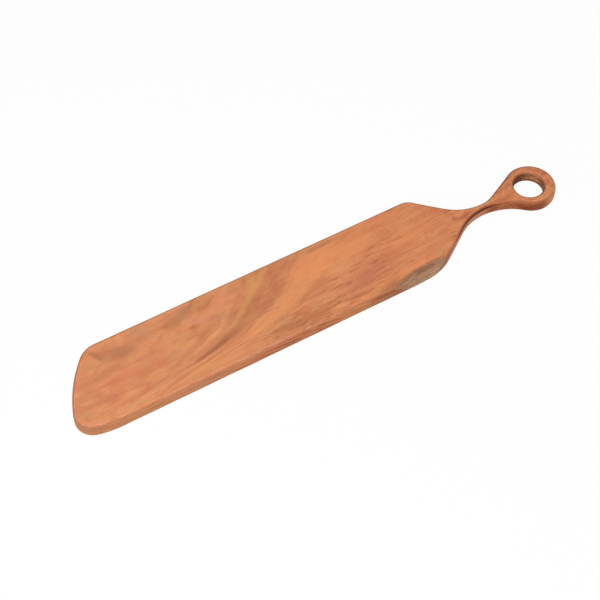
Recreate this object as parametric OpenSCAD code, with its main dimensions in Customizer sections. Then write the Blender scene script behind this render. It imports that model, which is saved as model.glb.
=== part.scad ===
// Paddle serving board: one carved hardwood plank with a ring handle and a natural edge.
// Millimetres. +X runs along the board towards the ring, +Z is up, the serving face is on top.
// The origin is the middle of the underside of the board's bounding box.
// Near is the -Y side, which carries the natural edge. Far is the +Y side.

/* [Blade] */
// Width of the blade across its parallel sides
blade_w = 97.6; // [84:1:112]
// Length from the ring's centre to the blade's end, on the blade's centre line
blade_l = 566.5; // [500:0.5:640]
// Thickness of the plank
plank_t = 16; // [13:0.5:20]
// Slant of the blade's end, from square across
end_slant = 26; // [18:1:32]
// Radius of the slightly bowed end
end_r = 167; // [150:1:240]
// Radius of the end's corner on the far side
far_corner_r = 27.5; // [20:0.5:32]
// Radius of the end's corner on the near side
near_corner_r = 20; // [16:0.5:30]
// Radius of the long sweep from that corner into the near side
near_sweep_r = 105; // [70:1:130]
// Turn of that sweep
near_sweep = 15; // [8:0.5:20]

/* [Shoulders] */
// Slope of the far shoulder, from the board's length
far_slope = 44.4; // [38:0.1:48]
// Slope of the near shoulder, from the board's length
near_slope = 34.4; // [31:0.1:39]
// Rounding of the far shoulder
far_shoulder_r = 20; // [10:0.5:30]
// Rounding of the near shoulder, a long sweep
near_shoulder_r = 75; // [60:1:85]

/* [Neck] */
// Reach of the neck to the far side of the handle's line, at its thinnest
far_neck = 4.4; // [4:0.1:7]
// Reach of the neck to the near side of the handle's line, at its thinnest
near_neck = 2.4; // [2:0.1:5]
// Hollow between the neck and the far side of the blade
far_throat_r = 58; // [44:1:66]
// Hollow between the neck and the near side of the blade
near_throat_r = 61.5; // [50:0.5:75]
// Hollow between the neck and the far side of the ring
far_waist_r = 36.5; // [30:0.5:50]
// Hollow between the neck and the near side of the ring
near_waist_r = 62; // [50:1:75]
// Straight flank between the ring and its far hollow
far_flank = 38.4; // [26:0.2:44]
// Straight flank between the ring and its near hollow
near_flank = 3; // [0.5:0.5:20]

/* [Ring] */
// Outer diameter of the ring
ring_d = 57.6; // [53:0.1:64]
// Diameter of the hanging hole
hole_d = 33.8; // [28:0.2:36]
// Offset of the hole from the ring's centre, towards the blade
hole_shift = 2; // [0:0.1:3]
// Offset of the hole from the ring's centre, towards the far side
hole_side = 0.3; // [0:0.1:1.5]
// Offset of the handle's line from the blade's centre line, to the near side
handle_shift = 1.5; // [0:0.1:3]
// Rounding of the hole's two rims
rim_r = 4; // [2:0.1:5]

/* [Edges] */
// Rounding of the blade's top edge
blade_top_r = 3.4; // [1.5:0.1:4]
// Rounding of the blade's lower edge
blade_under_r = 2.2; // [1.5:0.1:3]
// Rounding of the neck's edges, which is all of its width
neck_edge_r = 3.1; // [2:0.1:3.4]
// Rounding of the ring's top edge
ring_top_r = 5; // [3:0.1:6]
// Rounding of the ring's lower edge
ring_under_r = 5; // [3:0.1:6]

/* [Natural edge] */
// Radius of the log that the plank was sawn from
log_r = 150; // [130:1:190]
// Thickness of the inner bark that is left on the log's skin
bark_t = 1.2; // [0.9:0.1:2]
// Lean of the natural edge from upright, at half thickness
wane_lean = 29; // [25:1:33]
// Angle between the log's skin and the board's length, seen from above
wane_turn = 6.5; // [5:0.5:8]
// Radius of the log's hollow along its length, where its skin dips in behind the shoulder
wane_dip_r = 150; // [120:1:180]
// Distance from the ring's centre to the deepest place of that dip
wane_l = 175; // [168:1:180]

/* [Hidden] */

// Facets of the loft, counted for each kind of stretch
ring_steps = 26;
bend_steps = 10;
end_steps = 6;
edge_steps = 5;
// Overrun of every cut past the face it opens
cut = 2;

// Handle's line, and the blade's sides measured from it
far_side = blade_w / 2 + handle_shift;
near_side = blade_w / 2 - handle_shift;
ring_r = ring_d / 2;
hole_r = hole_d / 2;

// Where the edge rounding changes from the ring's to the neck's and on to the blade's, as shares of
// the ring's radius
ring_end_share = 0.6;
neck_start_share = 1.8;
neck_end_share = 2.4;
blade_start_share = 4.4;

// Distance from the ring's centre to the centre of the hollow that makes the waist
function waist_l(waist_r, flank) = norm([ring_r + waist_r, flank]);

// Distance along the handle's line from the ring's centre to the neck's thinnest place
function neck_x(reach, waist_r, flank) = sqrt(pow(waist_l(waist_r, flank), 2) - pow(reach + waist_r, 2));

// Slope of the ring's straight flank, from the handle's line
function flank_slope(reach, waist_r, flank) =
    acos((reach + waist_r) / waist_l(waist_r, flank)) - atan(flank / (ring_r + waist_r));

// Distance from the neck to the start of the blade's straight side
function shoulder_x(side, reach, throat_r, slope, shoulder_r) =
    (throat_r + shoulder_r) * sin(slope)
    + (side - reach - (throat_r + shoulder_r) * (1 - cos(slope))) / tan(slope);

// One outline point: its place, and the outward direction there
function arc_points(centre, r, from, to, steps, bulge) =
    [for (i = [0:steps]) let (a = from + (to - from) * i / steps)
        [centre + r * [cos(a), sin(a)], bulge * [cos(a), sin(a)]]];

// From the ring's tip to the blade's straight side, on the +Y side of the handle's line
function handle_side(side, reach, waist_r, flank, throat_r, slope, shoulder_r) =
    let (
        neck = neck_x(reach, waist_r, flank),
        lean = flank_slope(reach, waist_r, flank),
        shoulder = neck + shoulder_x(side, reach, throat_r, slope, shoulder_r)
    )
    concat(
        arc_points([0, 0], ring_r, 0, 90 + lean, ring_steps, 1),
        arc_points([-neck, reach + waist_r], waist_r, lean - 90, -90, bend_steps, -1),
        arc_points([-neck, reach + throat_r], throat_r, -90 - slope / bend_steps, -90 - slope, bend_steps - 1, -1),
        arc_points([-shoulder, side - shoulder_r], shoulder_r, 90 - slope, 90, bend_steps, 1)
    );

// The blade's bowed end: the centre of its arc, and the centres of its corners
end_out = [-cos(end_slant), sin(end_slant)];
blade_mid = (far_side - near_side) / 2;
end_centre = [-blade_l, blade_mid] - end_r * end_out;
function corner_centre(y, corner_r) =
    [end_centre[0] - sqrt(pow(end_r - corner_r, 2) - pow(y - end_centre[1], 2)), y];
far_corner = corner_centre(far_side - far_corner_r, far_corner_r);
sweep_rise = near_corner_r * cos(near_sweep) + near_sweep_r * (1 - cos(near_sweep));
near_corner = corner_centre(sweep_rise - near_side, near_corner_r);
sweep_turn = 270 - near_sweep;
near_sweep_centre = near_corner + (near_corner_r - near_sweep_r) * [cos(sweep_turn), sin(sweep_turn)];
far_turn = 180 + atan((far_corner[1] - end_centre[1]) / (far_corner[0] - end_centre[0]));
near_turn = 180 + atan((near_corner[1] - end_centre[1]) / (near_corner[0] - end_centre[0]));

function mirrored(points) = [for (i = [len(points) - 1:-1:0])
    [[points[i][0][0], -points[i][0][1]], [points[i][1][0], -points[i][1][1]]]];
function without_last(points) = [for (i = [0:len(points) - 2]) points[i]];
function without_first(points) = [for (i = [1:len(points) - 1]) points[i]];

// The whole outline, once round from the ring's tip over the far side, the end and the near side
far_points = handle_side(
    far_side, far_neck, far_waist_r, far_flank, far_throat_r, far_slope, far_shoulder_r);
near_points = handle_side(
    near_side, near_neck, near_waist_r, near_flank, near_throat_r, near_slope, near_shoulder_r);
outline = concat(
    far_points,
    arc_points(far_corner, far_corner_r, 90, far_turn, bend_steps, 1),
    without_first(without_last(arc_points(end_centre, end_r, far_turn, near_turn, end_steps, 1))),
    arc_points(near_corner, near_corner_r, near_turn, sweep_turn, bend_steps, 1),
    without_first(arc_points(near_sweep_centre, near_sweep_r, sweep_turn, 270, end_steps, 1)),
    without_last(mirrored(near_points))
);

// The edge rounding eases from the ring's to the neck's, and from there to the blade's
function eased(x, from_share, to_share) = let (
    t = (-x / ring_r - from_share) / (to_share - from_share),
    s = min(1, max(0, t))
) s * s * (3 - 2 * s);
function edge_r(x, ring_edge, blade_edge) = ring_edge
    + (neck_edge_r - ring_edge) * eased(x, ring_end_share, neck_start_share)
    + (blade_edge - neck_edge_r) * eased(x, neck_end_share, blade_start_share);

// Levels of the loft, from the underside's rim up to the serving face's rim
function under_level(a) = [for (p = outline) let (r = edge_r(p[0][0], ring_under_r, blade_under_r))
    [each p[0] - r * (1 - cos(a)) * p[1], r * (1 - sin(a))]];
function top_level(a) = [for (p = outline) let (r = edge_r(p[0][0], ring_top_r, blade_top_r))
    [each p[0] - r * (1 - cos(a)) * p[1], plank_t - r * (1 - sin(a))]];
edge_turns = [for (j = [0:edge_steps - 1]) 90 * j / edge_steps];
levels = concat(
    [run_past(under_level(edge_turns[edge_steps - 1]), under_level(90))],
    [for (j = [edge_steps - 1:-1:0]) under_level(edge_turns[j])],
    [for (a = edge_turns) top_level(a)],
    [run_past(top_level(edge_turns[edge_steps - 1]), top_level(90))]
);

// The last level runs on past the face, which then cuts it off flat
function run_past(before, last) = [for (i = [0:len(last) - 1]) 2 * last[i] - before[i]];

// Shift from the ring's centre to the origin, so that the bounding box is centred
near_end_x = near_corner[0] - near_corner_r;
ring_at = [-(ring_r + near_end_x) / 2, -handle_shift, 0];

// A closed skin over rings of points that match one to one
module loft(rings) {
    n = len(rings[0]);
    m = len(rings);
    sides = [for (j = [0:m - 2], i = [0:n - 1]) let (k = (i + 1) % n)
        [j * n + i, (j + 1) * n + i, (j + 1) * n + k, j * n + k]];
    polyhedron(
        points = [for (r = rings) each r],
        faces = concat([[for (i = [0:n - 1]) i]], sides, [[for (i = [n - 1:-1:0]) (m - 1) * n + i]])
    );
}

// The carved blank, with every outer edge rounded and both faces planed flat
module blank() {
    intersection() {
        translate(ring_at) loft(levels);
        translate([-blade_l, -blade_w, 0]) cube([2 * blade_l, 2 * blade_w, plank_t]);
    }
}

// What the hanging hole takes away: a straight bore with a rounded rim at each face
module hole_cut() {
    translate(ring_at + [-hole_shift, hole_side, 0]) rotate_extrude($fn = 96) difference() {
        translate([0, -cut]) square([hole_r + rim_r, plank_t + 2 * cut]);
        translate([hole_r, rim_r]) square([rim_r + cut, plank_t - 2 * rim_r]);
        for (z = [rim_r, plank_t - rim_r]) translate([hole_r + rim_r, z]) circle(rim_r, $fn = 48);
    }
}

// The log's axis lies under the board, so that its skin leans over the near shoulder
wane_at = [-wane_l, -near_side, 0];
skin_lean_low = wane_lean - asin(plank_t / 2 / log_r);
log_back = log_r * cos(skin_lean_low);
log_down = log_r * sin(skin_lean_low);
wane_span = blade_w;
wane_depth = blade_w / 3;

// The log's round skin beside the near shoulder, at a depth below its surface
module log_round(depth) {
    translate([0, log_back, -log_down]) rotate([0, 90, 0]) rotate_extrude($fn = 360) difference() {
        translate([0, -wane_span]) square([log_r + wane_span, 2 * wane_span]);
        translate([log_r - depth + wane_dip_r, 0]) circle(wane_dip_r, $fn = 360);
    }
}

// Everything near the shoulder that lies outside the log's skin at that depth
module outside_log(depth) {
    translate(ring_at + wane_at) rotate([0, 0, wane_turn]) difference() {
        translate([-wane_span / 2, -wane_depth, -cut]) cube([wane_span, 2 * wane_depth, plank_t + 2 * cut]);
        log_round(depth);
    }
}

// The board: blade, neck and ring carved from one plank
module plank() {
    color("peru") difference() {
        blank();
        hole_cut();
        outside_log(bark_t);
    }
}

// Inner bark left on the natural edge, seated on the wood under it
module bark_edge() {
    color("rosybrown") difference() {
        intersection() {
            blank();
            outside_log(bark_t);
        }
        outside_log(0);
    }
}

plank();
bark_edge();
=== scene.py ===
"""Looks of the paddle serving board: a carved hardwood plank and the strip of inner bark on its shoulder.

Sizes are in millimetres, in the board's own frame: +X runs towards the ring, -Y is the near side with
the natural edge, +Z is up out of the serving face. Meshes are turned into metres when they are made.
"""
import math

import bpy
import numpy as np
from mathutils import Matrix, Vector


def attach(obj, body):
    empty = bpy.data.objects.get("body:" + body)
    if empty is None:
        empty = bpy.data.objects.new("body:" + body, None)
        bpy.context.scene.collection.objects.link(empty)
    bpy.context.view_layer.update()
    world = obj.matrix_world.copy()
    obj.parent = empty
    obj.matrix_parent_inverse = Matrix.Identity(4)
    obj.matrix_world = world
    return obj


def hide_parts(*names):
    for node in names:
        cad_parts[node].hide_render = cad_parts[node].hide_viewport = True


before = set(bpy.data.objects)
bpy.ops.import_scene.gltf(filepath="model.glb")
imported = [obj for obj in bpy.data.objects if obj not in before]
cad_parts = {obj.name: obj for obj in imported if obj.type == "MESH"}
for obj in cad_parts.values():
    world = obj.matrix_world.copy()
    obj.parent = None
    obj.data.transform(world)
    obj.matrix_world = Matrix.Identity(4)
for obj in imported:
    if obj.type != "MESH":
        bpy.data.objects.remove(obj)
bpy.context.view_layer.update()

MM = 0.001

# ---------------------------------------------------------------- sizes of the board
blade_w, blade_l, plank_t = 97.6, 566.5, 16.0
end_slant, end_r = 26.0, 167.0
far_corner_r, near_corner_r, near_sweep_r, near_sweep = 27.5, 20.0, 105.0, 15.0
far_slope, near_slope, far_shoulder_r, near_shoulder_r = 44.4, 34.4, 20.0, 75.0
far_neck, near_neck, far_throat_r, near_throat_r = 4.4, 2.4, 58.0, 61.5
far_waist_r, near_waist_r, far_flank, near_flank = 36.5, 62.0, 38.4, 3.0
ring_d, hole_d, hole_shift, hole_side, handle_shift = 57.6, 33.8, 2.0, 0.3, 1.5
rim_r, blade_top_r, blade_under_r, neck_edge_r, ring_top_r, ring_under_r = 4.0, 3.4, 2.2, 3.1, 5.0, 5.0
log_r, bark_t, wane_lean, wane_turn, wane_dip_r, wane_l = 150.0, 1.2, 29.0, 6.5, 150.0, 175.0

# shares of the ring's radius, back from its centre, between which the edge rounding eases
ring_end_share, neck_start_share, neck_end_share, blade_start_share = 0.6, 1.8, 2.4, 4.4
# the sander's wander: its middle and greatest depth, the length and number of its waves, and the stretches
# over which it sets in behind the ring's centre and dies out before the blade's end
hand_depth, hand_most, hand_wave, hand_waves = 0.07, 0.2, 60.0, 7
hand_start, hand_end = (70, 110), (12, 40)

ring_r, hole_r = ring_d / 2, hole_d / 2
far_side, near_side = blade_w / 2 + handle_shift, blade_w / 2 - handle_shift


def rad(degrees):
    return np.radians(degrees)


def arc(centre, r, start, stop, count, bulge=1.0):
    """Places and outward directions along a circle's arc from angle start to angle stop, in degrees."""
    t = rad(np.linspace(start, stop, count))
    out = np.c_[np.cos(t), np.sin(t)]
    return np.asarray(centre) + r * out, bulge * out


def straight(a, b, out, count):
    """Places between a and b, both left out, with the one outward direction they share."""
    t = np.linspace(0, 1, count + 2)[1:-1, None]
    return a + (b - a) * t, np.tile(out, (count, 1))


# ---------------------------------------------------------------- outline, in the ring centre's frame
end_out = np.array([-math.cos(rad(end_slant)), math.sin(rad(end_slant))])
end_centre = np.array([-blade_l, handle_shift]) - end_r * end_out


def corner_centre(y, r):
    """Centre of an end corner of radius r at height y, so that it touches the end's arc from inside."""
    return np.array([end_centre[0] - math.sqrt((end_r - r) ** 2 - (y - end_centre[1]) ** 2), y])


def turn_at(centre):
    """Angle, in degrees, at which a corner of that centre meets the end's arc."""
    return 180 + math.degrees(math.atan((centre[1] - end_centre[1]) / (centre[0] - end_centre[0])))


sweep_rise = near_corner_r * math.cos(rad(near_sweep)) + near_sweep_r * (1 - math.cos(rad(near_sweep)))
far_corner = corner_centre(far_side - far_corner_r, far_corner_r)
near_corner = corner_centre(sweep_rise - near_side, near_corner_r)
far_turn, near_turn = turn_at(far_corner), turn_at(near_corner)
end_mid = (far_turn + near_turn) / 2
ring_at = np.array([-(ring_r + near_corner[0] - near_corner_r) / 2, -handle_shift])
hole_at = np.array([-hole_shift, hole_side])

# how many stations each stretch gets, the same on both sides
COUNTS = dict(ring=74, flank=20, waist=40, throat=44, slope=26, shoulder=46, side=210, corner=44, end=26)


def handle_side(side, reach, waist_r, flank, throat_r, slope, shoulder_r):
    """One side of ring, neck and shoulder, drawn on +Y from the ring's tip to the straight side."""
    n = COUNTS
    reach_l = math.hypot(ring_r + waist_r, flank)
    neck = math.sqrt(reach_l ** 2 - (reach + waist_r) ** 2)
    lean = math.degrees(math.acos((reach + waist_r) / reach_l) - math.atan(flank / (ring_r + waist_r)))
    shoulder = neck + (throat_r + shoulder_r) * math.sin(rad(slope)) + (
        side - reach - (throat_r + shoulder_r) * (1 - math.cos(rad(slope)))) / math.tan(rad(slope))
    ring = arc((0, 0), ring_r, 0, 90 + lean, n["ring"])
    waist = arc((-neck, reach + waist_r), waist_r, lean - 90, -90, n["waist"], -1)
    throat = arc((-neck, reach + throat_r), throat_r, -90, -90 - slope, n["throat"], -1)
    bend = arc((-shoulder, side - shoulder_r), shoulder_r, 90 - slope, 90, n["shoulder"])
    return [ring, straight(ring[0][-1], waist[0][0], ring[1][-1], n["flank"]), waist,
            (throat[0][1:], throat[1][1:]),
            straight(throat[0][-1], bend[0][0], bend[1][0], n["slope"]), bend]


def joined(stretches):
    """All places, and all outward directions, of stretches that follow each other."""
    return np.concatenate([s[0] for s in stretches]), np.concatenate([s[1] for s in stretches])


def far_half():
    """Outline from the ring's tip over the far side to the middle of the blade's end."""
    n = COUNTS
    side = handle_side(far_side, far_neck, far_waist_r, far_flank, far_throat_r, far_slope, far_shoulder_r)
    corner = arc(far_corner, far_corner_r, 90, far_turn, n["corner"])
    end = arc(end_centre, end_r, far_turn, end_mid, n["end"])
    run = straight(side[-1][0][-1], corner[0][0], np.array([0.0, 1.0]), n["side"])
    return joined(side + [run, corner, (end[0][1:], end[1][1:])])


def near_half():
    """Outline from the ring's tip over the near side to the middle of the blade's end."""
    n = COUNTS
    side = handle_side(
        near_side, near_neck, near_waist_r, near_flank, near_throat_r, near_slope, near_shoulder_r)
    side = [(p * [1, -1], d * [1, -1]) for p, d in side]
    sweep_turn = 270 - near_sweep
    sweep_at = near_corner + (near_corner_r - near_sweep_r) * np.array(
        [math.cos(rad(sweep_turn)), math.sin(rad(sweep_turn))])
    half = n["corner"] // 2
    sweep = arc(sweep_at, near_sweep_r, 270, sweep_turn, half)
    corner = arc(near_corner, near_corner_r, sweep_turn, near_turn, half + 1)
    end = arc(end_centre, end_r, near_turn, end_mid, n["end"])
    run = straight(side[-1][0][-1], sweep[0][0], np.array([0.0, -1.0]), n["side"])
    return joined(side + [run, sweep, (corner[0][1:], corner[1][1:]), (end[0][1:], end[1][1:])])


def smooth(x, low, high):
    """A soft step from 0 at low to 1 at high."""
    t = np.clip((x - low) / (high - low), 0, 1)
    return t * t * (3 - 2 * t)


def edge_r(x, ring_edge, blade_edge):
    """Edge rounding at a place x from the ring's centre: the ring's, eased to the neck's, then the blade's."""
    back = -x / ring_r
    return ring_edge + (neck_edge_r - ring_edge) * smooth(back, ring_end_share, neck_start_share) + (
        blade_edge - neck_edge_r) * smooth(back, neck_end_share, blade_start_share)


# ---------------------------------------------------------------- the log that the plank was sawn from
wane_mid = ring_at + [-wane_l, -near_side]
lean_low = rad(wane_lean) - math.asin(plank_t / 2 / log_r)
log_back, log_down = log_r * math.cos(lean_low), log_r * math.sin(lean_low)
# how far along the log from its middle it can cut the board, and how far its dip is followed
wane_half, dip_half = 90, 95


def log_place(p):
    """Along the log, across it and up, from its axis, for places p in the board's frame."""
    c, s = math.cos(rad(wane_turn)), math.sin(rad(wane_turn))
    x, y = p[..., 0] - wane_mid[0], p[..., 1] - wane_mid[1]
    return x * c + y * s, y * c - x * s - log_back, p[..., 2] + log_down


def from_log(along, across, up):
    """The way back from the log's axis to the board's frame."""
    c, s = math.cos(rad(wane_turn)), math.sin(rad(wane_turn))
    back = across + log_back
    x, y = along * c - back * s + wane_mid[0], along * s + back * c + wane_mid[1]
    return np.stack([x, y, up - log_down], -1)


def skin_radius(along, depth):
    """The log's radius at a depth below its skin: log_r - depth + dip_r - sqrt(dip_r^2 - along^2)."""
    reach = np.clip(along, -dip_half, dip_half)
    return log_r - depth + wane_dip_r - np.sqrt(wane_dip_r ** 2 - reach ** 2)


def onto_log(p, depth):
    """Draws every place outside the log at that depth level inwards: across = -sqrt(radius^2 - up^2)."""
    along, across, up = log_place(p)
    radius = skin_radius(along, depth)
    outside = (np.abs(along) < wane_half) & (across < 0) & (np.hypot(across, up) > radius)
    return from_log(along, np.where(outside, -np.sqrt(radius ** 2 - up ** 2), across), up)


# ---------------------------------------------------------------- meshes
sharp_from = 38  # degrees between faces from which an edge is shown sharp


def merged(points, faces, steps):
    """Makes points of one place into one, on a grid of steps to the mm. Gives the ones kept, and the faces."""
    grid = np.round(points * steps).astype(np.int64)
    _, first, same = np.unique(grid, axis=0, return_index=True, return_inverse=True)
    return first, same.reshape(-1)[faces]


def welded(grids):
    """Joins grids into one skin. Each is rows of points, and True where it has to be turned over."""
    points, faces, base = [], [], 0
    for grid, flip in grids:
        n, m = grid.shape[:2]
        i, j = np.meshgrid(np.arange(n - 1), np.arange(m - 1), indexing="ij")
        a = (i * m + j).ravel() + base
        quad = np.stack([a, a + m, a + m + 1, a + 1], -1)
        faces.append(quad[:, ::-1] if flip else quad)
        points.append(grid.reshape(-1, 3))
        base += n * m
    points, faces = np.concatenate(points), np.concatenate(faces)
    first, faces = merged(points, faces, 2000)
    return points[first], faces


def make_mesh(name, points, quads, material, values=None):
    """Builds a mesh object at the origin from points in mm and quads.

    Quads of which a side shrank to nothing become triangles. values holds a number for each point, by name.
    """
    faces = []
    for q in quads.tolist():
        f = [v for k, v in enumerate(q) if v != q[k - 1]]
        if len(f) > 2 and len(set(f)) == len(f):
            faces.append(f)
    mesh = bpy.data.meshes.new(name)
    mesh.from_pydata((points * MM).tolist(), [], faces)
    mesh.update()
    mesh.shade_smooth()
    mesh.set_sharp_from_angle(angle=rad(sharp_from))
    for key, data in (values or {}).items():
        mesh.attributes.new(key, "FLOAT", "POINT").data.foreach_set("value", data.astype(np.float32))
    mesh.materials.append(material)
    piece = bpy.data.objects.new(name, mesh)
    bpy.context.collection.objects.link(piece)
    return piece


def waves(x, y, seed, count, x_len, y_len):
    """Sum of sines with seeded directions and phases, from about -1 to 1.

    x_len and y_len are the middle wavelengths, and peak is the sum's usual peak before it is evened out.
    """
    rng = np.random.default_rng(seed)
    peak = 1.8
    total = np.zeros(np.broadcast(x, y).shape)
    for _ in range(count):
        kx, ky = rng.uniform(0.4, 1.6) / x_len, rng.uniform(-1.6, 1.6) / y_len
        total = total + np.sin(2 * np.pi * (kx * x + ky * y) + rng.uniform(0, 2 * np.pi))
    return total / math.sqrt(count / 2) / peak


def section_rows(face_rows=34, round_rows=9, wall_rows=13, under_rows=16):
    """Where each row of the skin lies: which stretch of the section it is on, and how far along it."""
    # how strongly the rows crowd: to the rim on the serving face, and to the spine below
    crowd_face, crowd_under = 2.6, 1.6
    face = 1 - (1 - np.linspace(0, 1, face_rows)) ** crowd_face
    rows = [("face", f) for f in face]
    rows += [("top", a) for a in np.linspace(90, 0, round_rows)[1:]]
    rows += [("wall", w) for w in np.linspace(0, 1, wall_rows)[1:-1]]
    rows += [("low", a) for a in np.linspace(0, 90, round_rows)]
    rows += [("under", f) for f in (np.linspace(1, 0, under_rows) ** crowd_under)[1:]]
    return rows


def skin(half, spine, hand):
    """One half of the board's skin: P(station, row).

    A row on the faces is spine + f * (rim - spine), a row on a rounding is
    outline - r * (1 - cos a) * outward at height r * (1 - sin a) from the face, and a row on the wall
    stands on the outline. hand is the sander's small wander, which only ever takes wood off.
    """
    line, out = half
    line = line - hand[:, None] * out
    top_r = edge_r(half[0][:, 0], ring_top_r, blade_top_r)
    low_r = edge_r(half[0][:, 0], ring_under_r, blade_under_r)
    rows = []
    for kind, f in section_rows():
        if kind == "face":
            flat, z = spine + f * (line - top_r[:, None] * out - spine), plank_t + 0 * top_r
        elif kind == "top":
            inset = top_r * (1 - math.cos(rad(f)))
            flat, z = line - inset[:, None] * out, plank_t - top_r * (1 - math.sin(rad(f)))
        elif kind == "wall":
            flat, z = line, (plank_t - top_r) * (1 - f) + low_r * f
        elif kind == "low":
            inset = low_r * (1 - math.cos(rad(f)))
            flat, z = line - inset[:, None] * out, low_r * (1 - math.sin(rad(f)))
        else:
            flat, z = spine + f * (line - low_r[:, None] * out - spine), 0 * low_r
        rows.append(np.c_[flat + ring_at, z])
    return np.stack(rows, 1)


def spines(far, near):
    """The inner line of each half: the hole's rim beside the hole, then the board's middle, which both share.

    The rim is shared out from the ring's tip to the middle of the waist, a little closer at the tip. Behind it
    the line eases into the middle, and past the blade's straight sides it stays at one place.
    """
    rim = hole_r + rim_r
    even_share, ease_stations = 0.75, 30
    count = len(far[0])
    last = COUNTS["ring"] + COUNTS["flank"] + COUNTS["waist"] // 2
    before_corner = ("ring", "flank", "waist", "throat", "slope", "shoulder", "side")
    straight_end = sum(COUNTS[k] for k in before_corner) - 1
    turn = np.linspace(0, 1, last + 1)
    turn = 180 * (even_share * turn + (1 - even_share) * turn ** 2)
    middle = (far[0] + near[0]) / 2
    pole = middle[straight_end]
    result = []
    for sign in (1, -1):
        line = middle.copy()
        line[straight_end:] = pole
        start = hole_at + [-rim, 0]
        ease = smooth(np.arange(count) - last, 0, ease_stations)[:, None]
        line = start * (1 - ease) + line * ease
        t = rad(turn)
        line[:last + 1] = hole_at + rim * np.c_[np.cos(t), sign * np.sin(t)]
        line[last] = start
        result.append(line)
    return result[0], result[1], last


def bore(rim_points):
    """The hole's wall under each rim place: rounding, straight wall, rounding.

    A rounding's radius is hole_r + rim_r * (1 - sin a), at rim_r * (1 - cos a) from the face.
    """
    round_rows, wall_shares = 9, (0.62, 0.38)
    turns = rad(np.linspace(0, 90, round_rows))
    wide = hole_r + rim_r * (1 - np.sin(turns))
    radii = np.r_[wide, hole_r, hole_r, wide[::-1]]
    high = plank_t - rim_r * (1 - np.cos(turns))
    z = np.r_[high, plank_t * wall_shares[0], plank_t * wall_shares[1], (plank_t - high)[::-1]]
    out = (rim_points - hole_at) / (hole_r + rim_r)
    flat = hole_at + ring_at + out[:, None, :] * radii[None, :, None]
    return np.concatenate([flat, np.broadcast_to(z[None, :, None], flat.shape[:2] + (1,))], -1)


def plank_skin():
    """The whole plank: two half skins over one spine, the hole's wall, and the natural edge cut back."""
    far, near = far_half(), near_half()
    near[0][-1], near[1][-1] = far[0][-1], far[1][-1]
    far_spine, near_spine, last = spines(far, near)
    grids = []
    for half, spine, flip, seed in ((far, far_spine, True, 3), (near, near_spine, False, 5)):
        x, y = half[0].T
        wander = hand_depth * (1 + waves(x, y, seed, hand_waves, hand_wave, hand_wave))
        hand = np.clip(wander, 0, hand_most) * smooth(-x, *hand_start) * smooth(x + blade_l, *hand_end)
        grids.append((onto_log(skin(half, spine, hand), bark_t), flip))
        grids.append((bore(spine[:last + 1]), not flip))
    return welded(grids)


def blank_reach(along, high):
    """How far the uncut blank reaches across the log: a table of heights by places along the log."""
    line, out = near_half()
    table = []
    for z in high:
        fall, rise = max(0.0, z - plank_t + blade_top_r), max(0.0, blade_under_r - z)
        inset = (blade_top_r - math.sqrt(blade_top_r ** 2 - fall ** 2)
                 + blade_under_r - math.sqrt(blade_under_r ** 2 - rise ** 2))
        rim = line - inset * out + ring_at
        u, v, _ = log_place(np.c_[rim, np.full(len(rim), z)])
        order = np.argsort(u)
        table.append(np.interp(along, u[order], v[order]))
    return np.array(table)


def fibre_relief(along, round_it):
    """Depth of the bark's face below the log's skin, in mm.

    middle + broad + flakes - 0.34 * fine - 0.2 * finer, kept within the layer. broad is a slow wave, fine
    and finer are 1 - |w| of fine waves drawn out along the log, and flakes is a stepped wave where a layer
    has peeled off.
    """
    middle, shallowest, left_below = 0.62, 0.03, 0.12
    broad = waves(along, round_it, 12, 12, 50.0, 8.0) * 0.16
    fine = 1 - np.abs(waves(along, round_it, 11, 22, 20.0, 2.6))
    finer = 1 - np.abs(waves(along, round_it, 14, 22, 11.0, 1.3))
    flakes = smooth(waves(along, round_it, 13, 12, 26.0, 4.4), 0.2, 0.42) * 0.26
    return np.clip(middle + broad + flakes - 0.34 * fine - 0.2 * finer, shallowest, bark_t - left_below)


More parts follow.
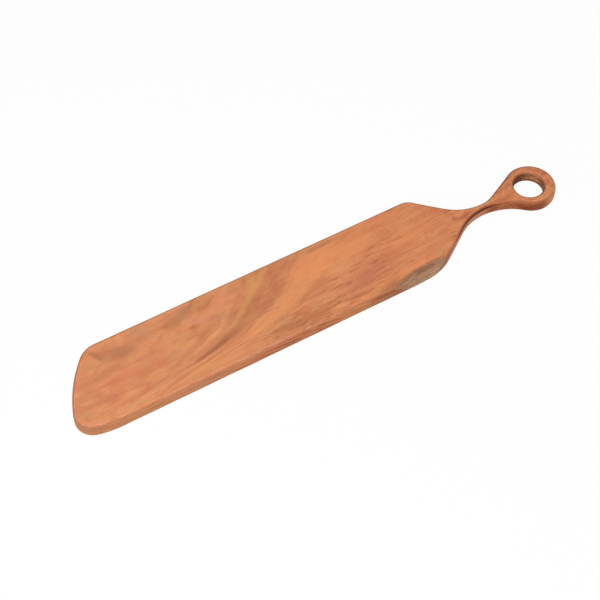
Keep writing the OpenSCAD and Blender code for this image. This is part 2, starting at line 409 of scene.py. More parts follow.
def bark_skin(stations=400, outer_rows=84, inner_rows=16):
    """The inner bark between the blank's face and the wood: P(station along the log, place round the section).

    At each place along the log the bark runs from height low to height top. Outside it is
    across = max(-sqrt((radius - relief)^2 - up^2), the blank's reach), and inside it lies on the wood.
    """
    # how far and how finely the bark's ends are looked for, and the thickness from which it counts
    scan_half, per_mm, thinnest = 70, 20, 0.02
    on_round = plank_t - blade_top_r * (1 - np.cos(rad(np.linspace(0, 90, 40))))
    high = np.unique(np.r_[np.linspace(0, plank_t, int(plank_t) * per_mm + 1), on_round])
    scan = np.linspace(-scan_half, scan_half, 2 * scan_half * per_mm + 1)
    up = (high + log_down)[:, None]
    inner = -np.sqrt(skin_radius(scan, bark_t) ** 2 - up ** 2)
    left = inner - blank_reach(scan, high) > thinnest
    live = np.nonzero(left.any(0))[0]
    low, top = high[left.argmax(0)], high[len(high) - 1 - left[::-1].argmax(0)]
    along = np.linspace(scan[live[0]], scan[live[-1]], stations)
    low, top = np.interp(along, scan[live], low[live]), np.interp(along, scan[live], top[live])
    reach = blank_reach(along, high)
    share = np.r_[np.linspace(0, 1, outer_rows), np.linspace(1, 0, inner_rows)]
    z = top[:, None] + (low - top)[:, None] * share
    station = np.arange(stations)[:, None]
    row = np.clip(np.searchsorted(high, z) - 1, 0, len(high) - 2)
    part = (z - high[row]) / (high[row + 1] - high[row])
    edge = reach[row, station] * (1 - part) + reach[row + 1, station] * part
    u, up = along[:, None] + 0 * z, z + log_down
    wood = -np.sqrt(skin_radius(u, bark_t) ** 2 - up ** 2)
    relief = fibre_relief(u, (plank_t - z) / math.cos(rad(wane_lean)))
    face = np.maximum(-np.sqrt((skin_radius(u, bark_t) + bark_t - relief) ** 2 - up ** 2), edge)
    outside = (np.arange(len(share)) < outer_rows)[None, :]
    across = np.where(outside, np.minimum(face, wood), wood)
    points = from_log(u, across, up)
    # both ends close to a point, and each section closes on its first place
    points[0], points[-1] = points[0].mean(0), points[-1].mean(0)
    points = np.concatenate([points, points[:, :1]], 1)
    i, j = np.meshgrid(np.arange(stations - 1), np.arange(len(share)), indexing="ij")
    n = len(share) + 1
    a = (i * n + j).ravel()
    quads = np.stack([a, a + 1, a + n + 1, a + n], -1)
    depth = np.where(outside, relief / bark_t, 1.0)
    depth = np.concatenate([depth, depth[:, :1]], 1).ravel()
    flat = points.reshape(-1, 3)
    first, quads = merged(flat, quads, 1000)
    return flat[first], quads, depth[first]


# ---------------------------------------------------------------- finishes
def srgb(r, g, b):
    """A colour written in 0-255 screen values, as the shader's linear values."""
    c = np.array([r, g, b]) / 255
    return tuple(np.where(c <= 0.04045, c / 12.92, ((c + 0.055) / 1.055) ** 2.4).tolist()) + (1.0,)


class Finish:
    """A material made of nodes, with one short call for each kind of node that the finishes use.

    x, y and z are the place on the board in mm, and colour is what the tones laid so far have made.
    """

    def __init__(self, name):
        self.material = bpy.data.materials.new(name)
        self.material.use_nodes = True
        self.tree = self.material.node_tree
        self.tree.nodes.clear()
        self.shader = self.new("ShaderNodeBsdfPrincipled")
        self.output = self.new("ShaderNodeOutputMaterial")
        self.put(self.output.inputs[0], self.shader.outputs[0])
        in_mm = self.new("ShaderNodeVectorMath")
        in_mm.operation = "SCALE"
        in_mm.inputs["Scale"].default_value = 1 / MM
        self.put(in_mm.inputs[0], self.new("ShaderNodeTexCoord").outputs["Object"])
        self.x, self.y, self.z = self.split(in_mm.outputs["Vector"])
        self.colour = None

    def new(self, kind):
        return self.tree.nodes.new(kind)

    def put(self, socket, value):
        if isinstance(value, bpy.types.NodeSocket):
            self.tree.links.new(value, socket)
        else:
            socket.default_value = value

    def math(self, kind, a, b=0.0, c=0.0, clamp=False):
        node = self.new("ShaderNodeMath")
        node.operation, node.use_clamp = kind, clamp
        for socket, value in zip(node.inputs, (a, b, c)):
            self.put(socket, value)
        return node.outputs[0]

    def mul(self, a, b):
        return self.math("MULTIPLY", a, b)

    def add(self, a, b):
        return self.math("ADD", a, b)

    def sub(self, a, b):
        return self.math("SUBTRACT", a, b)

    def most(self, a, b):
        return self.math("MAXIMUM", a, b)

    def size(self, a):
        """The value without its sign."""
        return self.math("ABSOLUTE", a)

    def spared(self, share, by):
        """What a share leaves of the whole: 1 - by * share."""
        return self.math("MULTIPLY_ADD", share, -by, 1.0)

    def join(self, x, y, z):
        node = self.new("ShaderNodeCombineXYZ")
        for socket, value in zip(node.inputs, (x, y, z)):
            self.put(socket, value)
        return node.outputs[0]

    def split(self, v):
        node = self.new("ShaderNodeSeparateXYZ")
        self.put(node.inputs[0], v)
        return node.outputs

    def length(self, v):
        node = self.new("ShaderNodeVectorMath")
        node.operation = "LENGTH"
        self.put(node.inputs[0], v)
        return node.outputs["Value"]

    def seen_from(self, place, middle, reach, turn):
        """The place as seen from a middle, along axes turned by turn degrees, in shares of the reach.

        It is one node, because the patches' sums would otherwise make the shader too big for Cycles.
        """
        node = self.new("ShaderNodeMapping")
        node.vector_type = "TEXTURE"
        self.put(node.inputs["Vector"], place)
        node.inputs["Location"].default_value = (*middle, 0)
        node.inputs["Rotation"].default_value = (0, 0, rad(turn))
        node.inputs["Scale"].default_value = (*reach, 1)
        return node.outputs[0]

    def facing(self):
        return self.split(self.new("ShaderNodeNewGeometry").outputs["Normal"])

    def noise(self, place, detail, rough=0.5, bend=0.0):
        node = self.new("ShaderNodeTexNoise")
        self.put(node.inputs["Vector"], place)
        for key, value in (("Scale", 1.0), ("Detail", detail), ("Roughness", rough), ("Distortion", bend)):
            node.inputs[key].default_value = value
        return node.outputs[0]

    def specks(self, lengths, detail, rough=0.5):
        """Noise whose specks are about as long along x, y and z as the lengths say, in mm."""
        axes = (self.x, self.y, self.z)
        return self.noise(self.join(*(self.mul(a, 1 / s) for a, s in zip(axes, lengths))), detail, rough)

    def step(self, value, low, high, to_low=0.0, to_high=1.0):
        """Smooth step from to_low at low to to_high at high."""
        node = self.new("ShaderNodeMapRange")
        node.interpolation_type = "SMOOTHSTEP"
        for socket, v in zip(node.inputs, (value, low, high, to_low, to_high)):
            self.put(socket, v)
        return node.outputs[0]

    def ramp(self, value, stops):
        node = self.new("ShaderNodeValToRGB")
        self.put(node.inputs[0], value)
        while len(node.color_ramp.elements) < len(stops):
            node.color_ramp.elements.new(0.5)
        for element, (at, tone) in zip(node.color_ramp.elements, stops):
            element.position, element.color = at, tone
        return node.outputs[0]

    def curve(self, value, points):
        """A free curve through given points; both ends run on level."""
        xs, ys = [p[0] for p in points], [p[1] for p in points]
        x0, x1, y0, y1 = min(xs), max(xs), min(ys), max(ys)
        node = self.new("ShaderNodeFloatCurve")
        line = node.mapping.curves[0]
        while len(line.points) < len(points):
            line.points.new(0.5, 0.5)
        for point, x, y in zip(line.points, xs, ys):
            point.location = ((x - x0) / (x1 - x0), (y - y0) / (y1 - y0))
        node.mapping.update()
        self.put(node.inputs["Value"], self.math("DIVIDE", self.sub(value, x0), x1 - x0, clamp=True))
        return self.math("MULTIPLY_ADD", node.outputs[0], y1 - y0, y0)

    def stain(self, tone, *shares):
        """Lays a tone over the colour so far, as strongly as the product of the shares."""
        share = shares[0]
        for more in shares[1:]:
            share = self.mul(share, more)
        node = self.new("ShaderNodeMix")
        node.data_type = "RGBA"
        for socket, value in zip((node.inputs[0], node.inputs[6], node.inputs[7]), (share, self.colour, tone)):
            self.put(socket, value)
        self.colour = node.outputs[2]

    def surface(self, roughness, shine, height, strength, depth):
        """Gives the shader its colour, roughness and shine, and a relief of that strength and depth."""
        relief = self.new("ShaderNodeBump")
        relief.inputs["Strength"].default_value = strength
        relief.inputs["Distance"].default_value = depth
        self.put(relief.inputs["Height"], height)
        self.put(self.shader.inputs["Base Color"], self.colour)
        self.put(self.shader.inputs["Roughness"], roughness)
        self.shader.inputs["Specular IOR Level"].default_value = shine
        self.put(self.shader.inputs["Normal"], relief.outputs[0])


def log_sides(f):
    """Along, across and up from the log's axis, in mm, as three shader values."""
    c, s = math.cos(rad(wane_turn)), math.sin(rad(wane_turn))
    x, y = f.sub(f.x, float(wane_mid[0])), f.sub(f.y, float(wane_mid[1]))
    along = f.add(f.mul(x, c), f.mul(y, s))
    across = f.sub(f.sub(f.mul(y, c), f.mul(x, s)), log_back)
    return along, across, f.add(f.z, log_down)


# The straight grain's course, y over x, and the dark streak's course, x over y
GRAIN_COURSE = [(-302, -4), (-200, 0), (-100, 5), (0, 11), (100, 18), (180, 24), (302, 24)]
STREAK_COURSE = [
    (-50, -325), (-40, -250), (-33, -205), (-30, -184), (-26, -160), (-20.5, -140), (-14, -120),
    (-7, -102), (0, -89), (9, -77), (21, -62), (34, -46), (50, -24)]
# How strongly the fine lines show, and how strongly the walls round the neck and ring are darkened, both over
# x; at the neck the darkening is painted shade
LINES_SHOWN = [(-302, 0.28), (-230, 0.18), (-170, 0.22), (-110, 0.4), (-40, 0.8), (60, 1.0), (302, 1.0)]
NECK_RING_DARKENING = [
    (128, 0), (154, 0.04), (168, 0.16), (178, 0.5), (190, 0.85), (214, 0.9), (229, 0.42), (243, 0.42),
    (252, 0.8), (264, 0.75), (275, 0.4), (288, 0.05), (302, 0)]
# How far down the bark its dark brink reaches, in mm over x
BRINK_REACH = [(62, -1.2), (90, -1.2), (102, 1.5), (114, 1.5), (122, 0), (136, 0)]

# Bands that follow the streak: mm along the board from it, half width in mm, strength over y, tone.
# The first is the one dark streak, thin and firm where it starts and wide and faint where it ends.
BANDS = [
    (2, 26, [
        (-34, 0), (-29, 0.1), (-26, 0.6), (-22, 0.74), (-14, 0.62), (-6, 0.42), (6, 0.3), (30, 0.2), (50, 0.2)],
     (144, 84, 58)),
    (22, 16, [(-30, 0), (-16, 0.1), (-10, 0.34), (2, 0.3), (12, 0.3), (30, 0.26), (50, 0.2)], (164, 98, 68)),
    (-24, 12, [(-28, 0), (-22, 0.1), (-12, 0.34), (2, 0.34), (14, 0.24), (34, 0.12), (50, 0)], (172, 106, 72)),
    (-48, 13, [(-26, 0), (-16, 0.22), (-2, 0.34), (12, 0.22), (24, 0.06), (50, 0)], (178, 110, 76)),
    (-12, 9, [(-24, 0), (-6, 0.2), (14, 0.42), (32, 0.5), (50, 0.3)], (214, 156, 98)),
    (62, 34, [(-44, 0.1), (-34, 0.5), (-16, 0.6), (10, 0.55), (34, 0.4), (50, 0.2)], (230, 150, 98)),
]

# Soft ragged patches: middle x and y, half length and half width in mm, turn in degrees, strength, tone
PATCHES = [
    (-226, 24, 28, 15, -12, 0.65, (168, 108, 76)),
    (-246, 30, 14, 9, -50, 0.40, (178, 116, 78)),
    (-251, 33, 17, 4.6, -62, 0.45, (144, 92, 66)),
    (-257, 16, 15, 3.4, 37, 0.32, (170, 112, 80)),
    (-249, 8, 26, 6, 10, 0.50, (176, 110, 76)),
    (-258, -5, 34, 3.6, 0, 0.50, (190, 108, 74)),
    (-266, -21, 38, 4.6, 1, 0.55, (188, 106, 74)),
    (-240, -4, 28, 17, 0, 0.45, (206, 118, 86)),
    (-204, -10, 26, 8, 4, 0.40, (198, 112, 78)),
    (-158, 31, 20, 9, 14, 0.55, (168, 112, 76)),
    (-146, 40, 14, 8, 8, 0.55, (166, 122, 94)),
    (-140, 20, 20, 9, -24, 0.45, (216, 144, 118)),
    (-108, 30, 22, 10, 20, 0.45, (222, 142, 106)),
    (-66, 36, 9, 20, -26, 0.45, (206, 152, 94)),
    (-46, 22, 10, 24, -24, 0.40, (186, 108, 74)),
    (-15, 30, 30, 12, 14, 0.45, (222, 140, 98)),
    (-2, -4, 24, 12, 14, 0.45, (190, 112, 78)),
    (52, -18, 66, 17, 9, 0.50, (186, 110, 84)),
    (46, -20, 30, 10, 10, 0.40, (190, 108, 84)),
    (30, 22, 90, 20, 6, 0.45, (230, 144, 88)),
    (120, 4, 50, 8, 8, 0.35, (226, 140, 88)),
    (70, -38, 60, 7, 5, 0.45, (222, 140, 86)),
    (24, -19, 9, 3, 10, 0.50, (150, 86, 60)),
    (64, -8, 9, 2.4, 8, 0.45, (160, 92, 64)),
    (-40, -37, 66, 8, 5, 0.60, (172, 104, 68)),
    (-62, -33, 26, 5, 8, 0.50, (164, 100, 66)),
    (24, 41, 34, 4, 1, 0.55, (166, 104, 72)),
    (60, 22, 44, 10, 4, 0.40, (222, 144, 98)),
    (96, -6, 34, 7, 6, 0.40, (204, 118, 80)),
    (132, -33, 9, 4, 8, 0.6, (200, 146, 88)),
    (32, -38, 24, 3.6, 1, 0.65, (178, 104, 66)),
    (3, -40, 16, 5.0, 2, 0.60, (232, 158, 110)),
    (238, 2, 22, 12, 6, 0.40, (196, 110, 76)),
    (176, -4, 28, 2.6, 10, 0.45, (178, 102, 70)),
    (150, 12, 34, 3.0, 9, 0.35, (188, 110, 76)),
    (236, -4, 12, 7, 10, 0.50, (190, 102, 72)),
    (246, 10, 13, 9, -30, 0.50, (186, 104, 72)),
    (288, 12, 12, 9, -40, 0.65, (174, 98, 74)),
    (292, -14, 13, 12, 60, 0.50, (208, 146, 96)),
    (262, 24, 16, 8, 20, 0.55, (210, 150, 98)),
    (266, -17, 22, 9, 0, 0.50, (180, 110, 74)),
]


class BoardWood(Finish):
    """Oiled reddish hardwood: straight grain at both ends, a swept figure with one dark streak, and pores.

    grain is how far a place lies across the straight grain, and age is how far along the board it lies from
    the dark streak, both in mm.
    """

    def __init__(self):
        super().__init__("board_wood")
        self.nx, self.ny, self.nz = self.facing()
        self.courses()
        self.ground()
        self.fine_lines()
        self.bands()
        self.patches()
        self.beside_bark()
        self.handle()
        self.walls()
        self.neck_and_ring_walls()
        self.hole()
        self.blade_walls()
        self.edges()
        oiled = self.add(self.step(self.lines, 0.3, 0.7, 0.42, 0.54), self.mul(self.wall, 0.15))
        self.surface(oiled, 0.12, self.sub(self.mul(self.lines, 0.6), self.pores), 0.4, 0.00015)

    def courses(self):
        """The straight grain, nearly along the board, and the swept figure, curves like the streak's."""
        course = self.curve(self.x, GRAIN_COURSE)
        self.wander = self.sub(self.specks((110, 50, 60), 2.0), 0.5)
        self.grain = self.add(self.sub(self.y, course), self.mul(self.wander, 14.0))
        self.ragged = self.mul(self.sub(self.specks((22, 9, 12), 4.0, 0.6), 0.5), 4.5)
        self.bent_y = self.add(self.y, self.ragged)
        self.age = self.sub(self.x, self.curve(self.bent_y, STREAK_COURSE))
        leaning_age = self.math("MULTIPLY_ADD", self.y, 1.6, self.age)
        self.swept = self.mul(self.step(leaning_age, -170.0, -40.0), self.step(self.age, 150.0, 70.0))
        self.end_part = self.step(self.x, -130.0, -210.0)

    def along_grain(self, length, width, depth, detail, rough=0.5, bend=0.0):
        """Noise drawn out along the straight grain."""
        across = self.mul(self.grain, 1 / width)
        place = self.join(self.mul(self.x, 1 / length), across, self.mul(self.z, 1 / depth))
        return self.noise(place, detail, rough, bend)

    def along_sweep(self, length, width, depth, detail, rough):
        """Noise drawn out along the swept figure."""
        run = self.add(self.y, self.mul(self.x, 0.4))
        place = self.join(self.mul(self.age, 1 / width), self.mul(run, 1 / length), self.mul(self.z, 1 / depth))
        return self.noise(place, detail, rough)

    def ground(self):
        """Zones of lighter and darker wood, redder, yellower and duller blotches, and clouds at the end."""
        zones = self.mul(self.swept, self.sub(self.along_sweep(34, 22, 14, 3.0, 0.55), 0.5))
        striped = self.mul(self.spared(self.swept, 0.5), self.spared(self.end_part, 0.45))
        stripes = self.sub(self.along_grain(64, 9, 14, 4.0, 0.55, 0.3), 0.5)
        zones = self.add(zones, self.mul(stripes, striped))
        self.colour = self.ramp(self.add(zones, 0.5), [
            (0.28, srgb(186, 114, 76)), (0.43, srgb(206, 133, 90)),
            (0.57, srgb(216, 142, 97)), (0.74, srgb(226, 154, 106))])
        blotch = self.specks((26, 16, 20), 4.0, 0.62)
        self.stain(srgb(206, 122, 88), self.step(blotch, 0.52, 0.7, 0.0, 0.55))
        self.stain(srgb(206, 148, 98), self.step(blotch, 0.47, 0.32, 0.0, 0.5))
        clouds = self.specks((19, 12, 15), 3.0, 0.6)
        self.stain(srgb(196, 118, 86), self.end_part, self.step(clouds, 0.51, 0.68, 0.0, 0.5))
        self.stain(srgb(224, 154, 108), self.end_part, self.step(clouds, 0.48, 0.34, 0.0, 0.5))
        dull = self.noise(self.join(self.mul(self.x, 1 / 40), self.mul(self.y, 1 / 24), 3.7), 3.0, 0.6)
        self.stain(srgb(186, 130, 98), self.step(dull, 0.54, 0.74, 0.0, 0.5))
        self.stain(srgb(226, 136, 88), self.step(self.x, -20.0, 90.0, 0.0, 0.34))

    def fine_lines(self):
        """Fine lines and pores along the grain, faint at the end, and lines along the swept figure."""
        shown = self.curve(self.x, LINES_SHOWN)
        self.lines = self.along_grain(26, 1.5, 2.2, 3.0, 0.62)
        broken = self.step(self.along_grain(38, 8, 10, 2.0), 0.38, 0.64, 0.1, 0.75)
        dark_lines = self.mul(self.step(self.lines, 0.5, 0.68), broken)
        self.stain(srgb(158, 88, 56), dark_lines, shown, self.spared(self.swept, 0.55))
        swept_lines = self.along_sweep(22, 9, 6, 4.0, 0.62)
        fanned = self.mul(self.swept, self.step(self.y, -32.0, -16.0, 0.35, 1.0))
        fanned = self.mul(fanned, self.step(self.age, -90.0, -30.0, 0.5, 1.0))
        self.stain(srgb(172, 108, 72), fanned, self.step(swept_lines, 0.53, 0.72, 0.0, 0.42))
        self.stain(srgb(228, 156, 108), fanned, self.step(swept_lines, 0.47, 0.3, 0.0, 0.25))
        self.stain(srgb(232, 162, 118), self.step(self.lines, 0.48, 0.3, 0.0, 0.3), shown)
        # open pores in beds, and one rough bed along the near side of the blade's middle
        pore_beds = self.step(self.along_grain(46, 16, 20, 2.0), 0.42, 0.62)
        rough_bed = self.mul(self.step(self.x, -120.0, -70.0), self.step(self.x, 70.0, 10.0))
        rough_bed = self.mul(rough_bed, self.step(self.y, -16.0, -30.0))
        pores = self.step(self.along_grain(6, 0.75, 0.9, 2.0, 0.6), 0.58, 0.68)
        self.pores = self.mul(pores, self.mul(self.most(pore_beds, rough_bed), shown))
        self.stain(srgb(132, 74, 48), self.pores, 0.6)
        dashes = self.along_grain(11, 1.8, 2.4, 2.0, 0.55)
        self.stain(srgb(146, 88, 58), rough_bed, self.step(dashes, 0.54, 0.66, 0.0, 0.55))

    def bands(self):
        """The dark streak and the bands beside it, narrower where they start on the near side."""
        widen = self.step(self.y, -32.0, -8.0, 0.6, 1.0)
        for shift, half_width, strength, tone in BANDS:
            away = self.math("DIVIDE", self.size(self.sub(self.age, shift)), self.mul(widen, half_width))
            self.stain(srgb(*tone), self.step(away, 0.1, 1.0, 1.0, 0.0), self.curve(self.y, strength))

    def patches(self):
        place = self.join(self.x, self.bent_y, 0.0)
        for cx, cy, rx, ry, turn, strength, tone in PATCHES:
            away = self.length(self.seen_from(place, (cx, cy), (rx, ry), turn))
            self.stain(srgb(*tone), self.step(away, 0.15, 1.0, strength, 0.0))

    def beside_bark(self):
        """The stained line above the bark, and the stained tail to the left of it."""
        along, across, up = log_sides(self)
        self.from_axis = self.length(self.join(0.0, across, up))
        skin_at = self.add(self.mul(self.mul(along, along), 0.5 / wane_dip_r), log_r - bark_t)
        deep = self.sub(skin_at, self.from_axis)
        beside = self.mul(self.step(self.x, 40.0, 84.0), self.step(self.x, 150.0, 118.0))
        patchy = self.step(self.specks((5, 2.2, 2.2), 3.0, 0.6), 0.38, 0.6, 0.15, 0.7)
        line = self.step(self.add(deep, self.mul(self.ragged, 0.35)), 0.0, 1.7, 1.0, 0.0)
        self.stain(srgb(150, 98, 70), line, beside, patchy)
        self.tail = self.mul(self.step(self.x, 14.0, 52.0), self.step(self.x, 86.0, 62.0))
        faded = self.step(self.add(deep, self.ragged), 1.0, 13.0, 1.0, 0.0)
        self.stain(srgb(148, 96, 68), faded, self.tail, 0.6)

    def handle(self):
        """The handle is redder and more streaked."""
        handle = self.step(self.x, 130.0, 190.0)
        streaks = self.along_grain(19, 6.5, 8, 4.0, 0.6, 0.6)
        self.stain(srgb(192, 116, 84), handle, 0.25)
        self.stain(srgb(182, 92, 64), handle, self.step(streaks, 0.51, 0.62, 0.0, 0.65))
        self.stain(srgb(212, 148, 96), handle, self.step(streaks, 0.49, 0.38, 0.0, 0.75))

    def walls(self):
        """Walls are darker and redder than the faces, as painted shade, and show the log's growth rings and the
        grain's level lines.
        """
        steep = self.step(self.x, 232.0, 250.0, 0.84, 0.985), self.step(self.x, 232.0, 250.0, 0.3, 0.74)
        self.wall = self.step(self.size(self.nz), *steep)
        ring_width = 3.4
        rings = self.mul(self.add(self.from_axis, self.mul(self.wander, 6.0)), 2 * math.pi / ring_width)
        growth = self.step(self.math("SINE", rings), -0.3, 1.0)
        # painted shade: every wall darkened against the faces
        self.stain(srgb(176, 102, 62), self.wall, 0.55)
        self.stain(srgb(136, 74, 46), self.wall, growth, self.step(self.size(self.nx), 0.2, 0.8, 0.3, 0.5))
        level = self.mul(self.wall, self.step(self.size(self.nx), 0.5, 0.9, 1.0, 0.35))
        place = self.join(self.mul(self.x, 1 / 34), self.mul(self.z, 1 / 2.6), self.mul(self.y, 1 / 12))
        level_lines = self.noise(place, 4.0, 0.62)
        self.stain(srgb(144, 80, 50), level, self.step(level_lines, 0.47, 0.62, 0.0, 0.7))
        self.stain(srgb(208, 142, 92), level, self.step(level_lines, 0.45, 0.34, 0.0, 0.6))

    def neck_and_ring_walls(self):
        """Walls round the neck and ring, darkened unevenly; at the neck only the upper band is darkened, as
        painted shade, above a lower half lightened as painted bounce light from the floor.
        """
        uneven = self.step(self.specks((13, 13, 4), 3.0, 0.6), 0.36, 0.6, 0.7, 1.0)
        darkening = self.mul(self.curve(self.x, NECK_RING_DARKENING), uneven)
        neck = self.mul(self.step(self.x, 152.0, 172.0), self.step(self.x, 228.0, 208.0))
        bounce_lit = self.mul(self.step(self.x, 132.0, 150.0), self.step(self.x, 216.0, 190.0))
        # painted bounce light: the lower half of the neck's walls lightened
        self.stain(srgb(210, 154, 124), self.wall, bounce_lit, self.step(self.z, 10.8, 8.8, 0.0, 0.85))
        # painted shade: at the neck only the wall's upper band is darkened
        darkened_part = self.most(self.step(self.z, 10.0, 11.6), self.sub(1.0, neck))
        self.stain(srgb(108, 44, 18), self.wall, darkening, darkened_part)
        # the darkest line, painted shade under the neck's near arris
        shade_under_arris = self.mul(self.step(self.z, 10.4, 11.8), self.step(self.z, 15.95, 15.5))
        shade_under_arris = self.mul(self.step(self.nz, 0.94, 0.78), self.mul(shade_under_arris, neck))
        self.stain(srgb(84, 26, 6), shade_under_arris, self.step(self.ny, 0.1, -0.3, 0.0, 0.85))
        # painted light: the ring's wall is light again at its outer near side
        outer = self.mul(self.wall, self.step(self.x, 270.0, 288.0))
        self.stain(srgb(232, 162, 110), outer, self.step(self.ny, 0.1, -0.4, 0.0, 0.8))

    def hole(self):
        """The hole's light rim, and its layered wall darkened inside the hole as painted shade, darker still
        towards both rims.
        """
        middle_x, middle_y = (hole_at + ring_at).tolist()
        from_hole = self.length(self.join(self.sub(self.x, middle_x), self.sub(self.y, middle_y), 0.0))
        rim = self.mul(self.step(from_hole, hole_r + 4.2, hole_r + 3.2), self.step(self.nz, 0.5, 0.8))
        self.stain(srgb(214, 146, 100), rim, self.step(self.nz, 1.0, 0.97, 0.0, 0.6))
        hole_shade = self.step(from_hole, hole_r + 2.2, hole_r + 0.6)
        layers = self.specks((14, 14, 1.5), 2.0)
        # painted shade inside the hole, broken by layers, and more towards both rims
        self.stain(srgb(96, 46, 30), hole_shade, self.step(layers, 0.44, 0.58, 0.2, 0.75))
        self.stain(srgb(86, 46, 30), hole_shade, self.step(self.z, 7.5, 3.5, 0.0, 0.6))
        self.stain(srgb(92, 60, 46), hole_shade, self.step(self.z, 9.0, 12.0, 0.1, 0.3))

    def blade_walls(self):
        """The blade's wall is stained below the bark's tail, and lighter beside it and towards the end."""
        self.stain(srgb(130, 86, 58), self.wall, self.tail, 0.35)
        beside_tail = self.mul(self.step(self.x, -12.0, 6.0), self.step(self.x, 40.0, 26.0, 0.0, 0.45))
        self.stain(srgb(206, 146, 88), self.wall, beside_tail)
        self.stain(srgb(194, 142, 96), self.wall, self.step(self.x, -90.0, -170.0, 0.0, 0.4))

    def edges(self):
        """Painted shade on the arris of the near side and the end, with painted dotted highlights along it,
        painted shade on the far arris, and the end's wall darkened as painted shade, more so higher up.
        """
        near = self.step(self.sub(self.mul(self.nx, -1.0), self.ny), 0.05, 0.2)
        arris = self.mul(self.mul(near, self.step(self.nz, 0.99, 0.9)), self.step(self.nz, 0.3, 0.6))
        # painted shade on the near side's and the end's arris
        self.stain(srgb(176, 106, 72), arris, 0.6)
        specks = self.step(self.specks((7, 2, 1.2), 3.0, 0.6), 0.46, 0.62)
        # painted highlight: dotted glints along the top of the arris
        brow = self.mul(self.mul(near, self.step(self.nz, 0.99, 0.95)), self.step(self.nz, 0.72, 0.86))
        wear_and_glints = self.mul(brow, specks)
        self.stain(srgb(208, 158, 136), wear_and_glints, self.step(self.x, 70.0, -60.0, 0.0, 0.6))
        # painted shade on the far arris
        far = self.mul(self.step(self.nz, 0.998, 0.9), self.step(self.nx, -0.7, -0.3))
        self.stain(srgb(128, 82, 54), far, self.step(self.ny, 0.06, 0.3, 0.0, 0.6))
        # painted shade on the end's wall, more so higher up
        end_wall = self.mul(self.step(self.x, -270.0, -288.0), self.step(self.size(self.nz), 0.95, 0.8))
        self.stain(srgb(154, 100, 70), end_wall, self.step(self.z, 4.0, 9.0, 0.25, 0.47))


def inner_bark():
    """Grey-brown inner bark: long fibres, painted shade in the hollows, darker at the brink, pinkish and olive
    streaks.
    """
    f = Finish("inner_bark")
    along, across, up = log_sides(f)
    depth = f.new("ShaderNodeAttribute")
    depth.attribute_name = "hollow"
    hollow = depth.outputs["Fac"]

    def fibres(length, width, detail, bend):
        place = f.join(f.mul(along, 1 / length), f.mul(across, 1 / width), f.mul(up, 1 / width))
        return f.noise(place, detail, 0.62, bend)

    fibre, broad = fibres(12, 1.1, 5.0, 0.3), fibres(18, 5, 3.0, 0.4)
    f.colour = f.ramp(fibre, [
        (0.3, srgb(136, 96, 72)), (0.45, srgb(164, 124, 96)),
        (0.58, srgb(178, 138, 110)), (0.75, srgb(204, 164, 136))])
    f.stain(srgb(160, 132, 94), f.step(broad, 0.52, 0.66, 0.0, 0.55))
    f.stain(srgb(172, 116, 96), f.step(broad, 0.47, 0.33, 0.0, 0.6))
    # painted shade: the bark darker where its face lies deeper in the layer
    f.stain(srgb(122, 84, 62), f.step(hollow, 0.4, 0.9, 0.0, 0.45))
    height = f.add(f.z, f.mul(f.sub(broad, 0.5), 5.0))
    brink = f.step(f.add(height, f.curve(f.x, BRINK_REACH)), plank_t - 6.0, plank_t - 3.6)
    brink = f.mul(brink, f.step(fibre, 0.35, 0.65, 0.95, 0.6))
    f.stain(srgb(138, 92, 68), brink, f.step(f.x, 130.0, 112.0, 0.15, 1.0))
    f.stain(srgb(136, 108, 84), f.step(f.x, 118.0, 130.0, 0.0, 0.45))
    # worn through to the wood at the brink and towards the left end
    worn_height = f.add(height, f.step(f.x, 94.0, 74.0, 0.0, 1.6))
    wear_and_glints = f.step(worn_height, plank_t - 1.6, plank_t + 0.3, 0.0, 0.6)
    f.stain(srgb(192, 126, 88), f.most(wear_and_glints, f.step(f.x, 80.0, 64.0, 0.0, 0.55)))
    f.surface(0.85, 0.15, fibre, 0.6, 0.0004)
    return f.material


def floor_white():
    """Plain white floor. It shows as near white, and keeps the board's soft shadow."""
    f = Finish("floor_white")
    f.shader.inputs["Base Color"].default_value = (0.9, 0.9, 0.9, 1)
    f.shader.inputs["Roughness"].default_value = 0.9
    f.shader.inputs["Specular IOR Level"].default_value = 0.1
    shown_white = 0.93
    rays = f.new("ShaderNodeLightPath").outputs
    seen = f.most(rays["Is Camera Ray"], f.most(rays["Is Glossy Ray"], rays["Is Transmission Ray"]))
    glow = f.new("ShaderNodeEmission")
    glow.inputs["Color"].default_value = (1, 1, 1, 1)
    blend = f.new("ShaderNodeMixShader")
    for socket, value in zip(blend.inputs, (f.mul(seen, shown_white), f.shader.outputs[0], glow.outputs[0])):
        f.put(socket, value)
    f.put(f.output.inputs[0], blend.outputs[0])
    return f.material


# ---------------------------------------------------------------- camera, floor and light
def add_camera():
    """The photo's view: 54 degrees down, the board running away to the upper right."""
    look_at = Vector((-26.3, -1.2, 0.0)) * MM
    turn, tilt, away = rad(-30.097), rad(54.012), 1603.8 * MM
    focal_px, image_px, sensor_w = 1491.924, 600, 36.0
    back = Vector((-math.sin(-turn) * math.cos(tilt), -math.cos(turn) * math.cos(tilt), math.sin(tilt)))
    data = bpy.data.cameras.new("camera")
    data.sensor_width = sensor_w
    data.lens = focal_px / image_px * sensor_w
    data.clip_start, data.clip_end = 0.05, 50.0
    camera = bpy.data.objects.new("camera", data)
    bpy.context.collection.objects.link(camera)
    camera.location = look_at + back * away
    camera.rotation_mode = "QUATERNION"
    camera.rotation_quaternion = (-back).to_track_quat("-Z", "Y")
    bpy.context.scene.camera = camera


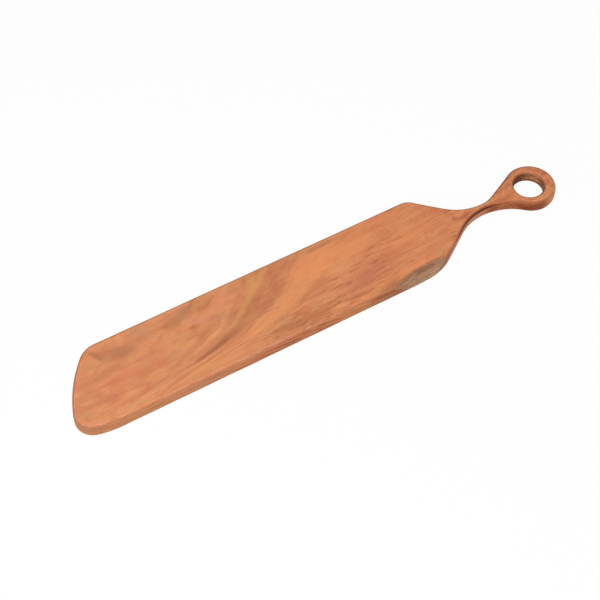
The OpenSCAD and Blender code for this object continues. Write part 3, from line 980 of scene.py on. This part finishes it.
def add_softbox(name, place, size, power):
    """A square soft lamp at a place in metres, turned to face the board."""
    data = bpy.data.lights.new(name, "AREA")
    data.shape, data.size, data.energy = "SQUARE", size, power
    lamp = bpy.data.objects.new(name, data)
    bpy.context.collection.objects.link(lamp)
    lamp.location = place
    lamp.rotation_mode = "QUATERNION"
    lamp.rotation_quaternion = (-Vector(place)).to_track_quat("-Z", "Y")


def add_sky():
    """A plain white world: dim as a light, full white where the camera, a gloss or a clear body shows it."""
    lights, shows = 0.256, 1.0
    world = bpy.data.worlds.new("studio")
    world.use_nodes = True
    bpy.context.scene.world = world
    tree = world.node_tree
    tree.nodes.clear()
    rays = tree.nodes.new("ShaderNodeLightPath").outputs
    seen = rays["Is Camera Ray"]
    for kind in ("Is Glossy Ray", "Is Transmission Ray"):
        either = tree.nodes.new("ShaderNodeMath")
        either.operation = "MAXIMUM"
        tree.links.new(rays[kind], either.inputs[0])
        tree.links.new(seen, either.inputs[1])
        seen = either.outputs[0]
    blend = tree.nodes.new("ShaderNodeMixShader")
    tree.links.new(seen, blend.inputs[0])
    for socket, strength in ((1, lights), (2, shows)):
        sky = tree.nodes.new("ShaderNodeBackground")
        sky.inputs["Color"].default_value = (1, 1, 1, 1)
        sky.inputs["Strength"].default_value = strength
        tree.links.new(sky.outputs[0], blend.inputs[socket])
    output = tree.nodes.new("ShaderNodeOutputWorld")
    tree.links.new(blend.outputs[0], output.inputs[0])


def add_floor():
    """A white floor, a hair below the board's underside."""
    side, under = 4.0, -0.0003
    mesh = bpy.data.meshes.new("floor")
    corners = [(-side, -side, under), (side, -side, under), (side, side, under), (-side, side, under)]
    mesh.from_pydata(corners, [], [(0, 1, 2, 3)])
    mesh.materials.append(floor_white())
    floor = bpy.data.objects.new("floor", mesh)
    bpy.context.collection.objects.link(floor)


add_camera()
bpy.context.scene.view_settings.view_transform = "Standard"
add_sky()
add_softbox("softbox_left", (-1.5, -0.9, 1.2), 1.1, 26.0)
add_softbox("softbox_over", (-0.1, -0.5, 2.2), 1.5, 26.0)
add_floor()

points, quads = plank_skin()
board = make_mesh("board_plank", points, quads, BoardWood().material)
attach(board, "root")
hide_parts("plank")

points, quads, depth = bark_skin()
strip = make_mesh("bark_strip", points, quads, inner_bark(), {"hollow": depth})
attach(strip, "root")
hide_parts("bark_edge")
